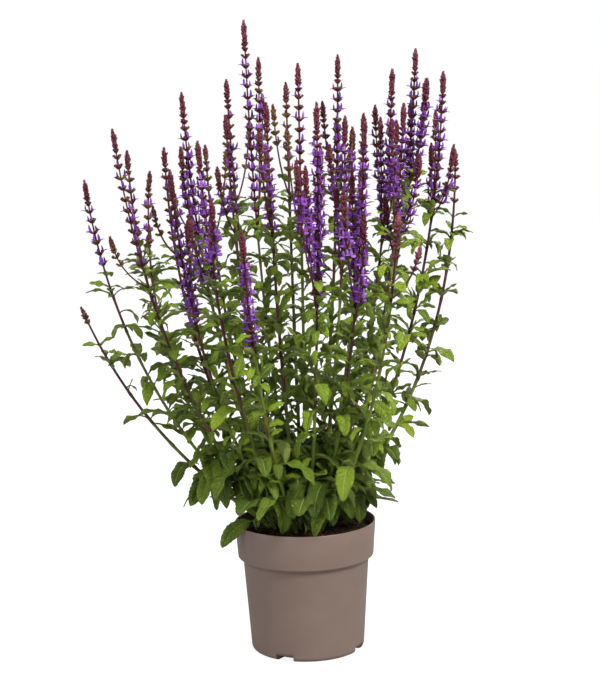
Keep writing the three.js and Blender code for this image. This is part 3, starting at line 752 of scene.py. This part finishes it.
class Crowd:
    """What already fills the space, as balls of place, radius and the shoot that they are on."""

    def __init__(self):
        self.balls = np.zeros((0, 5))

    def add(self, balls, owner):
        owned = np.concatenate([balls, np.full((len(balls), 1), owner)], 1)
        self.balls = np.concatenate([self.balls, owned])

    def add_path(self, path, start, end, radius, owner):
        distance = np.arange(start, end + 1e-9, ball_gap)
        self.add(np.concatenate([path.at(distance), np.full((len(distance), 1), radius)], 1), owner)

    def near(self, place, reach):
        apart = np.linalg.norm(self.balls[:, :3] - place, axis=1)
        return self.balls[apart < reach + self.balls[:, 3]]


def is_clear(balls, others, owner, snug):
    """True if no ball, times snug, meets another, or the soil or the pot. The stalk may meet its own stem."""
    far = np.hypot(balls[:, 0], balls[:, 1])
    lowest = np.where(far < rim_radius / mm - rim_clearance, least_leaf_height, beyond_rim_height)
    if (balls[:, 2] < lowest).any():
        return False
    apart = balls[:, None, :3] - others[None, :, :3]
    reach = (balls[:, None, 3] + others[None, :, 3]) * snug
    meets = (apart**2).sum(-1) < reach**2
    meets[:stalk_balls, others[:, 4] == owner] = False
    return not meets.any()


def steepest(facing, azimuth):
    """The steepest that a leaf may rise at an azimuth, so that it stands away from its stem face."""
    level = facing[0] * math.cos(azimuth) + facing[1] * math.sin(azimuth)
    spare = math.acos(min(1, leaf_away / math.hypot(level, facing[2])))
    return math.atan2(facing[2], level) + spare


def settle(crowd, owner, start, azimuth, facing, stance, snug=1.0):
    """The leaf in the first of leaf_ways that keeps clear of the crowd, or None.

    Where the stem face holds it down, it droops less, so that its tip hangs as before.
    """
    others = crowd.near(start, 1.2 * stance["length"])
    for turn, size, lift in leaf_ways:
        tried = dict(stance, length=stance["length"] * size, width=stance["width"] * size)
        turned = azimuth + math.radians(turn)
        rise = stance["rise"] + math.radians(lift)
        tried["rise"] = min(rise, steepest(facing, turned))
        tried["droop"] = max(least_droop, stance["droop"] + tried["rise"] - rise)
        line = leaf_line(start, turned, tried)
        balls = leaf_balls(line, tried)
        if is_clear(balls, others, owner, snug):
            crowd.add(balls, -1)
            return dict(tried, line=line)
    return None


def smooth_rows(rows, share):
    """Points on a Catmull-Rom curve through rows of points, (copies, points, 3), at shares of its length."""
    last = rows.shape[1] - 1
    spot = np.clip(share * last, 0, last - 1e-6)
    i = spot.astype(int)
    f = (spot - i)[None, :, None]
    a, b, c, d = (rows[:, np.clip(i + k, 0, last)] for k in (-1, 0, 1, 2))
    return b + 0.5 * f * (c - a + f * (2 * a - 5 * b + 4 * c - d + f * (3 * (b - c) + d - a)))


def leaf_skin(leaves, rows, side_steps):
    """Closed blades. Across is -1 to 1 and t is the share of the blade past its stalk.

    Half width: blade_share, with the edge 5% out and in by turns. Height: a fold of 0.1 to 0.5 |across|,
    an edge wave in across squared, puckers between the side veins, a groove on the midrib, and a
    rounded margin. Below, the midrib stands proud and fades towards the tip.
    """
    share = np.linspace(0, 1, rows) ** 0.94
    top = np.linspace(1, -1, 2 * side_steps + 1)
    top = np.sign(top) * np.abs(top) ** 1.25
    across = np.concatenate([top, top[::-1]])[None, None]
    under = np.concatenate([np.zeros(len(top)), np.ones(len(top))])[None, None]
    lines = [np.array([leaf["line"][k] for leaf in leaves]) for k in range(3)]
    place, right, above = (smooth_rows(line, share)[:, :, None] for line in lines)
    keys = ("length", "width", "petiole", "phase")
    length, width, petiole, phase = (np.array([leaf[key] for leaf in leaves])[:, None, None] for key in keys)
    u = share[None, :, None]
    t = np.clip((u - petiole) / (1 - petiole), 0, 1)
    blade = np.where(t < 0.5, blade_share(u, petiole), np.sin(math.pi * t**0.8) ** 0.62 + 0.012)
    is_edge = np.abs(across) > 0.99
    teeth = 1 + 0.05 * np.where(np.arange(rows) % 2, 1, -1)[None, :, None] * np.clip(8 * t, 0, 1)
    half = 0.5 * width * blade
    spread_out = across * half * np.where(is_edge, teeth, 1)
    open_blade = np.clip(t / 0.12, 0, 1)
    veins = np.round(5 + length / 22)
    pucker = np.abs(np.sin(math.pi * (veins * t - 1.5 * np.abs(across))))
    wave = np.sin(2 * math.pi * (2.1 * t + phase + 0.27 * np.sign(across))) * 0.22 * half * across**2
    groove = np.exp(-((across / 0.1) ** 2))
    fold = lerp(0.1, 0.5, 7 * phase % 1)
    lift = half * (fold * np.abs(across) - 0.12 * across**4) * open_blade + wave * open_blade
    lift = lift + open_blade * 0.015 * length * pucker * (1 - across**2) * np.clip(4 * np.abs(across), 0, 1)
    thick = lerp(0.6, 0.22 + 0.0012 * length, open_blade) * np.where(is_edge, 0.45, 1)
    keel = 0.012 * length * groove * (1 - t)
    face = np.where(under > 0, -thick - keel, thick - 0.004 * length * groove * open_blade)
    rings = place + right * spread_out[..., None] + above * (lift + face)[..., None]
    skin = loft(rings * mm)
    marks = {"across": across, "length": t, "under": under, "veins": veins}
    grid = rings.shape[:3]
    skin["marks"] = {key: spread(skin, np.broadcast_to(value, grid)) for key, value in marks.items()}
    skin["marks"]["tone"] = spread(skin, np.array([leaf["tone"] for leaf in leaves]))
    skin["paint"] = 1
    return skin


def leaf_finish():
    """Green that lightens with tone, paler below, with a pale midrib and side veins in a fine net."""
    finish = Finish("sage leaf", Specular_IOR_Level=0.45)
    across = abs(finish.attribute("across"))
    length = finish.attribute("length")
    under = finish.attribute("under")
    tone = finish.attribute("tone")
    blotch = finish.noise(120, 3)
    wave = length * finish.attribute("veins") - 1.5 * across
    side_mask = 1 - wave.folded(0.5).clamped(0.0, 0.1)
    midrib = 1 - across.clamped(0.015, 0.07)
    spots = {"Vector": finish.place, "Scale": 620.0}
    net = finish.node("ShaderNodeTexVoronoi", {"feature": "DISTANCE_TO_EDGE"}, spots)
    net_mask = 1 - net.clamped(0.0, 0.16)
    shade = (tone + 0.5 * (blotch - 0.5)).clamped(0.0, 1.0)
    green = finish.mix(shade, leaf_deep, leaf_green)
    green = finish.mix((tone + 0.3 * (blotch - 0.5)).clamped(0.8, 1.7), green, leaf_young)
    top = finish.mix(0.18 * net_mask + 0.26 * side_mask, green, leaf_vein)
    bottom = finish.mix(0.3 * net_mask + 0.4 * side_mask, leaf_under, leaf_vein)
    face = finish.mix(under, top, bottom)
    finish.set("Base Color", finish.mix(0.85 * midrib, face, leaf_vein))
    finish.set("Roughness", 0.36 + 0.24 * under + 0.16 * blotch)
    height = net.clamped(0.0, 0.4) * 0.8 - side_mask * 1.1 + finish.noise(1400) * 0.3
    finish.bump(height * (1 - 2 * under), 0.0014, 1.0)
    return finish


# Well-flowered shoots carry one side spike more than the solids show, or two.
for plant in plants:
    chance = np.random.default_rng(900 + plant["index"])
    path, _, bloom, hue = plant["spikes"][0]
    more_spikes = 0 if bloom < 0.6 else 1 if plant["index"] < 16 else 2
    first_angle = chance.uniform(0, 2 * math.pi)
    for order in range(more_spikes):
        angle = first_angle + 2.4 * order
        aside = np.array([math.cos(angle), math.sin(angle), 0.0]) * chance.uniform(13, 22)
        tip = path.at(path.length - chance.uniform(35, 85) - 25 * order) + aside
        branch = branch_path(path.at(plant["top"] - 8 - 10 * order), tip)
        start = branch.length - min(chance.uniform(85, 120), 0.8 * branch.length)
        plant["spikes"].append((branch, start, min(1.0, bloom + 0.1), hue * 0.8))

crowd = Crowd()
for plant in plants:
    owner = plant["index"]
    path, end = plant["path"], plant["top"] + peduncle
    crowd.add_path(path, 0, end, stem_reach, owner)
    crowd.add_path(path, end, path.length, whorl_reach, owner)
    for branch, start, _, _ in plant["spikes"][1:]:
        crowd.add_path(branch, ball_gap, start, branch_reach, owner)
        crowd.add_path(branch, start, branch.length, whorl_reach, owner)
    plant["joints"] = leaf_pairs(plant)
    plant["leaves"] = []

# The paired leaves, placed by the rule that the solids use, the lowest first. They keep
# clear of the further side spikes too, so a few lie otherwise than in the solids.
for level in range(max(len(plant["joints"]) for plant in plants)):
    for plant in plants:
        if level >= len(plant["joints"]):
            continue
        distance = plant["joints"][level] + face_height / 2
        start, along = plant["path"].at(distance), plant["path"].along(distance)
        u, v = cross_frame(along, plant["turn"])
        share = level / (len(plant["joints"]) - 1)
        for pair in (0, 1):
            face = level % 2 + 2 * pair
            facing = u * round(math.cos(face * math.pi / 2)) + v * round(math.sin(face * math.pi / 2))
            azimuth = plant["turn"] + face * math.pi / 2
            stance = leaf_stance(plant, level, pair, share)
            leaf = settle(crowd, plant["index"], start, azimuth, facing, stance)
            if leaf:
                chance = draw(plant["index"], level, pair, 9)
                tone = lerp(0.2, 0.8, share) + 0.5 * chance - 0.25
                plant["leaves"].append(dict(leaf, phase=chance, tone=tone))


# Kinds of leaf that the solids leave out, each with its ranges. Length is in millimetres,
# or a share of the size that the place gives. Three droops are a choice, two a range.
crown_leaf = {
    "length": (0.75, 1.1), "width": (0.27, 0.36), "petiole": 0.18, "rise": (15, 60),
    "droop": (95, 150), "roll": 55, "tone": (-0.2, 0.5), "snug": 0.35,
}
between_leaf = {
    "length": (0.75, 1.15), "width": (0.27, 0.36), "petiole": 0.12, "rise": (30, 75),
    "droop": (45, 100, 150), "roll": 65, "tone": (-0.3, 0.3), "snug": 0.45,
}
axil_leaf = {
    "length": (0.6, 1.25), "width": (0.3, 0.42), "petiole": 0.12, "rise": (40, 80),
    "droop": (20, 75, 150), "roll": 75, "tone": (0.1, 1.3), "snug": 0.3,
}
tuft_leaf = {
    "length": (16, 36), "width": (0.3, 0.4), "petiole": 0.14, "rise": (35, 80),
    "droop": (15, 70, 150), "roll": 75, "tone": (0.0, 1.2), "snug": 0.3,
}
spray_leaf = {
    "length": (16, 30), "width": (0.34, 0.46), "petiole": 0.06, "rise": (35, 70),
    "droop": (40, 100), "roll": 50, "tone": (0.5, 1.1), "snug": 0.5,
}
crown_leaves = 6
most_tufts = 20
least_fullness = 0.35


def grow_leaf(plant, kind, distance, azimuth, chance, size=1.0, tone=0.0):
    """One leaf of a kind on the stem at a distance, if it finds room."""
    start, along = plant["path"].at(distance), plant["path"].along(distance)
    out = np.array([math.cos(azimuth), math.sin(azimuth), 0.0])
    facing = out - along * (along @ out)
    length = size * chance.uniform(*kind["length"])
    width = length * chance.uniform(*kind["width"])
    rise = chance.uniform(*kind["rise"])
    droops = kind["droop"]
    droop = chance.choice(droops) if len(droops) == 3 else chance.uniform(*droops)
    roll = chance.uniform(-kind["roll"], kind["roll"])
    stance = make_stance(length, width, kind["petiole"], rise, droop, 0.65, roll)
    tone += chance.uniform(*kind["tone"])
    facing /= np.linalg.norm(facing)
    leaf = settle(crowd, plant["index"], start, azimuth, facing, stance, kind["snug"])
    if leaf:
        plant["leaves"].append(dict(leaf, phase=chance.random(), tone=tone))


def add_more_leaves(plant):
    """Large leaves low down, pairs between the joints, axil leaves, tufts, two pairs at the spray's foot.

    Shoots that lean far out of the bush are barer.
    """
    chance = np.random.default_rng(100 + plant["index"])
    path, joints, top = plant["path"], list(plant["joints"]), plant["top"]
    outward = math.atan2(path.end[1], path.end[0])
    lean = math.hypot(path.end[0], path.end[1]) / path.end[2]
    fullness = np.clip(1.9 - 3 * lean, least_fullness, 1)
    for distance in chance.uniform(30, 100, crown_leaves):
        azimuth = outward + math.pi + chance.uniform(-2.4, 2.4)
        grow_leaf(plant, crown_leaf, distance, azimuth, chance, lerp(56, 76, distance / 100))
    middles = [lerp(low, high, 0.5) for low, high in zip(joints, joints[1:])]
    for level, middle in enumerate(middles):
        share = middle / top
        for pair in (0, 1):
            azimuth = plant["turn"] + math.pi / 4 + pair * math.pi + level * math.pi / 2
            azimuth += chance.uniform(-0.3, 0.3)
            if chance.random() > fullness * lerp(0.4, 0.95, share):
                continue
            size, tone = lerp(58, 32, share), lerp(0.2, 0.8, share)
            grow_leaf(plant, between_leaf, middle + 4 * pair, azimuth, chance, size, tone)
    plant["joints"] = joints + middles
    for joint in sorted(joints + middles):
        for turn in range(4):
            azimuth = plant["turn"] + turn * math.pi / 2 + chance.uniform(-0.8, 0.8)
            if chance.random() > fullness:
                continue
            distance = joint + chance.uniform(2, 8)
            grow_leaf(plant, axil_leaf, distance, azimuth, chance, lerp(30, 22, joint / top))
    for distance in chance.uniform(0.45 * top, top + 4, round(most_tufts * fullness**2)):
        grow_leaf(plant, tuft_leaf, distance, chance.uniform(0, 2 * math.pi), chance)
    for distance in (top + 6, top + 20):
        for pair in (0, 1):
            azimuth = plant["turn"] + chance.uniform(-0.4, 0.4) + pair * math.pi + distance
            grow_leaf(plant, spray_leaf, distance, azimuth, chance)


for plant in plants:
    add_more_leaves(plant)

# One long-stalked leaf from the crown lies over the left of the pot's lip.
lip_stance = make_stance(length=84.0, width=19.0, petiole=0.42, rise=42, droop=112, bend=0.9, roll=-80)
lip_line = leaf_line(np.array([-37.0, -22.0, 155.0]), math.radians(207), lip_stance)
plants[2]["leaves"].append(dict(lip_stance, line=lip_line, phase=0.3, tone=0.3))

stem_look, leaf_look = stem_finish(), leaf_finish()
for plant in plants:
    skins = [stem_skin(plant)]
    for low, high, rows, side_steps in ((0, 24, 8, 2), (24, 50, 12, 2), (50, 200, 28, 4)):
        group = [leaf for leaf in plant["leaves"] if low <= leaf["length"] < high]
        if group:
            skins.append(leaf_skin(group, rows, side_steps))
    looks, number = [stem_look, leaf_look], plant["number"]
    make_piece("leafy_shoot_" + number, skins, looks, ["leafy_stem_" + number])

# The flower sprays: the dusky top of each stem, with whorls of tubular, ribbed
# calyces. Violet two-lipped petals stand out of the older ones, small bracts sit below
# each whorl, and the tip is a close column of rose-brown buds.
bud_gap = 2.9
close_gap = 10.5
loose_gap = 14.5
whorl_turns = np.array([-0.8, 0, 0.8, math.pi - 0.8, math.pi, math.pi + 0.8])
calyx_green = srgb(122, 98, 48)
calyx_dusk = srgb(102, 40, 58)
calyx_rose = srgb(164, 92, 106)
petal_deep = srgb(88, 26, 122)
petal_violet = srgb(136, 52, 178)
petal_light = srgb(182, 118, 216)


def ring_shape(heights, widths, depths, around, rise=None):
    """A template's rings: ellipses of half width and depth at heights along Z, shifted up Y by rise."""
    angle = 2 * math.pi * np.arange(around) / around
    rise = np.zeros(len(heights)) if rise is None else np.array(rise)
    x = np.outer(widths, np.cos(angle))
    y = np.outer(depths, np.sin(angle)) + rise[:, None]
    z = np.repeat(np.array(heights, float)[:, None], around, 1)
    return np.stack([x, y, z], -1)


calyx_shape = ring_shape((0, 1.4, 4.2, 5.8), (0.5, 1.25, 1.35, 1.75), (0.5, 1.15, 1.2, 1.5), 6)
calyx_shape[-1, ::2, 2] += 0.8
bud_shape = ring_shape((0, 1.2, 2.9, 4.5), (0.7, 1.4, 1.2, 0.3), (0.6, 1.25, 1.0, 0.25), 5)
bract_shape = ring_shape(
    (0, 1.6, 3.6, 5.6), (0.7, 1.9, 1.3, 0.08), (0.3, 0.35, 0.25, 0.06), 4, (0, 0.5, 0.4, -0.4)
)
hood_heights, hood_rise = (3.6, 6.0, 8.0, 9.6, 10.8), (0, 0.7, 1.9, 3.4, 5.0)
hood_shape = ring_shape(hood_heights, (1.1, 1.4, 1.6, 1.3, 0.5), (1.0, 1.2, 1.4, 1.1, 0.4), 6, hood_rise)
lip_shape = ring_shape(
    (5.0, 7.2, 9.2, 10.2), (1.1, 2.4, 3.5, 2.3), (0.6, 0.5, 0.45, 0.25), 6, (-0.4, -1.1, -2.5, -3.9)
)
lip_shape[2, ::3, 2] -= 0.6


def place_copies(shape, origin, along, up, scale):
    """Copies of a template with its Z along, its Y towards up, and its own scale, as a loft's rings."""
    side = np.cross(up, along)
    side /= np.linalg.norm(side, axis=1, keepdims=True)
    back = np.cross(along, side)
    turn = np.stack([side, back, along], -1) * scale[:, None, None]
    return origin[:, None, None] + np.einsum("rkj,nij->nrki", shape, turn)


def whorl_rows(span, bud_zone, bloom, chance):
    """Distances back from the tip to each row: close in the bud zone, then widening to the open gap."""
    widest = lerp(loose_gap, close_gap, bloom)
    back, rows = 1.0, []
    while back < span:
        rows.append(back)
        share = min(1.0, max(0.0, (back - bud_zone + 4) / 26))
        close = lerp(bud_gap, bud_gap + 1.6, back / bud_zone)
        back += lerp(close, widest, share * share * (3 - 2 * share)) * chance.uniform(0.92, 1.08)
    return np.array(rows)


def flower_skins(path, start, bloom, hue, turn, chance):
    """Rows of buds, calyces, bracts and petals up one spike, each in six places in two opposite sheaves.

    A calyx is open: its last fan runs down to the middle of the row below its mouth.
    """
    span = path.length - start
    bud_zone = 13 + 0.04 * span + 8 * bloom
    back = whorl_rows(span, bud_zone, bloom, chance)
    rows = np.repeat(np.arange(len(back)), 6)
    azimuth = turn + np.tile(whorl_turns, len(back)) + rows * math.pi / 2 + chance.normal(0, 0.13, len(rows))
    distance = path.length - back[rows] + chance.normal(0, 0.35, len(rows))
    far = back[rows]
    age = np.clip((far - bud_zone) / 22, 0, 1)
    middle, along = path.at(distance), path.along(distance)
    u, v = cross_frame(along, turn)
    out = u * np.cos(azimuth - turn)[:, None] + v * np.sin(azimuth - turn)[:, None]
    lean = lerp(30, 44, age) - 20 * np.clip(1 - far / 11, 0, 1)
    lean = np.radians(lean + chance.normal(0, 6, len(rows)))[:, None]
    heading = along * np.cos(lean) + out * np.sin(lean)
    origin = middle + out * lerp(0.7, 0.9, age)[:, None]
    tone = np.clip(hue + 0.2 * (far < 9) - 0.25 * age + chance.normal(0, 0.14, len(rows)), 0, 1.3)

    young = far < bud_zone
    cap = np.clip(0.42 + far / 13, 0.42, 1.25)
    size = np.where(young, cap, lerp(0.8, 1.0, age)) * chance.uniform(0.9, 1.1, len(rows))
    flat = math.radians(64)
    has_bract = np.tile([False, True, False], 2 * len(back)) & ~young
    bract_heading = along * math.cos(flat) + out * math.sin(flat)
    flowering = chance.random(len(rows)) < 0.85 * bloom * np.clip((far - bud_zone - 5) / 26, 0, 1)
    petal_size = lerp(0.74, 0.94, age) * chance.uniform(0.8, 1.15, len(rows))
    petal_tone = chance.random(len(rows))
    layers = (
        (bud_shape, young, heading, size, tone, 1),
        (calyx_shape, ~young, heading, size, tone, 1),
        (bract_shape, has_bract, bract_heading, size * 0.9, tone, 1),
        (hood_shape, flowering, heading, petal_size, petal_tone, 2),
        (lip_shape, flowering, heading, petal_size, petal_tone, 2),
    )
    skins = []
    for shape, pick, lead, scale, tones, paint in layers:
        if pick.any():
            rings = place_copies(shape, origin[pick], lead[pick], along[pick], scale[pick]) * mm
            skin = loft(rings, rings[:, -2].mean(1) if shape is calyx_shape else None)
            skin["marks"] = {"tone": spread(skin, tones[pick])}
            skin["paint"] = paint
            skins.append(skin)
    return skins


def calyx_finish():
    """Dusky purple to rose with tone, greener where tone is low, with fine flecks."""
    finish = Finish("calyx", Roughness=0.6, Specular_IOR_Level=0.3)
    tone = finish.attribute("tone")
    fleck = finish.noise(900, 3)
    share = tone + 0.6 * (fleck - 0.5)
    dusk = finish.mix(share.clamped(0.0, 0.5), calyx_green, calyx_dusk)
    finish.set("Base Color", finish.mix(share.clamped(0.65, 1.35), dusk, calyx_rose))
    finish.bump(finish.noise(2200), 0.0003, 0.7)
    return finish


def petal_finish():
    """Velvet violet, from deep to light, streaked along the petal."""
    finish = Finish("petal", Roughness=0.55, Specular_IOR_Level=0.3)
    finish.set("Sheen Weight", 0.25)
    tone = finish.attribute("tone")
    vein = finish.noise(700, 2)
    body = finish.mix((tone + 0.6 * (vein - 0.5)).clamped(0.0, 0.7), petal_deep, petal_violet)
    finish.set("Base Color", finish.mix((tone + 0.8 * (vein - 0.5)).clamped(0.6, 1.2), body, petal_light))
    return finish


def stalk_skin(path, start, end, turn, low_half, high_half):
    distance = np.linspace(start, end - 0.6, max(6, int((end - start) / 8)))
    share = np.linspace(0, 1, len(distance))
    rings = square_rings(path.at(distance), path.along(distance), turn, lerp(low_half, high_half, share), 8)
    skin = loft(rings[None] * mm)
    rise = np.repeat(lerp(0.95, 1.3, share), 8).reshape(1, -1, 8)
    skin["marks"] = {"rise": spread(skin, rise, 1.0)}
    return skin


calyx_look, petal_look = calyx_finish(), petal_finish()
for plant in plants:
    chance = np.random.default_rng(500 + plant["index"])
    skins = []
    for order, (path, start, bloom, hue) in enumerate(plant["spikes"]):
        low = plant["top"] if order == 0 else 0.0
        half = stem_top_half_width if order == 0 else 1.0
        more = 40 * bloom if order == 0 else 10 * bloom
        skins.append(stalk_skin(path, low, path.length, plant["turn"], half, spike_tip_half_width))
        skins += flower_skins(path, start - more, bloom, hue, plant["turn"], chance)
    looks, number = [stem_look, calyx_look, petal_look], plant["number"]
    make_piece("flowering_top_" + number, skins, looks, ["flower_spray_" + number])
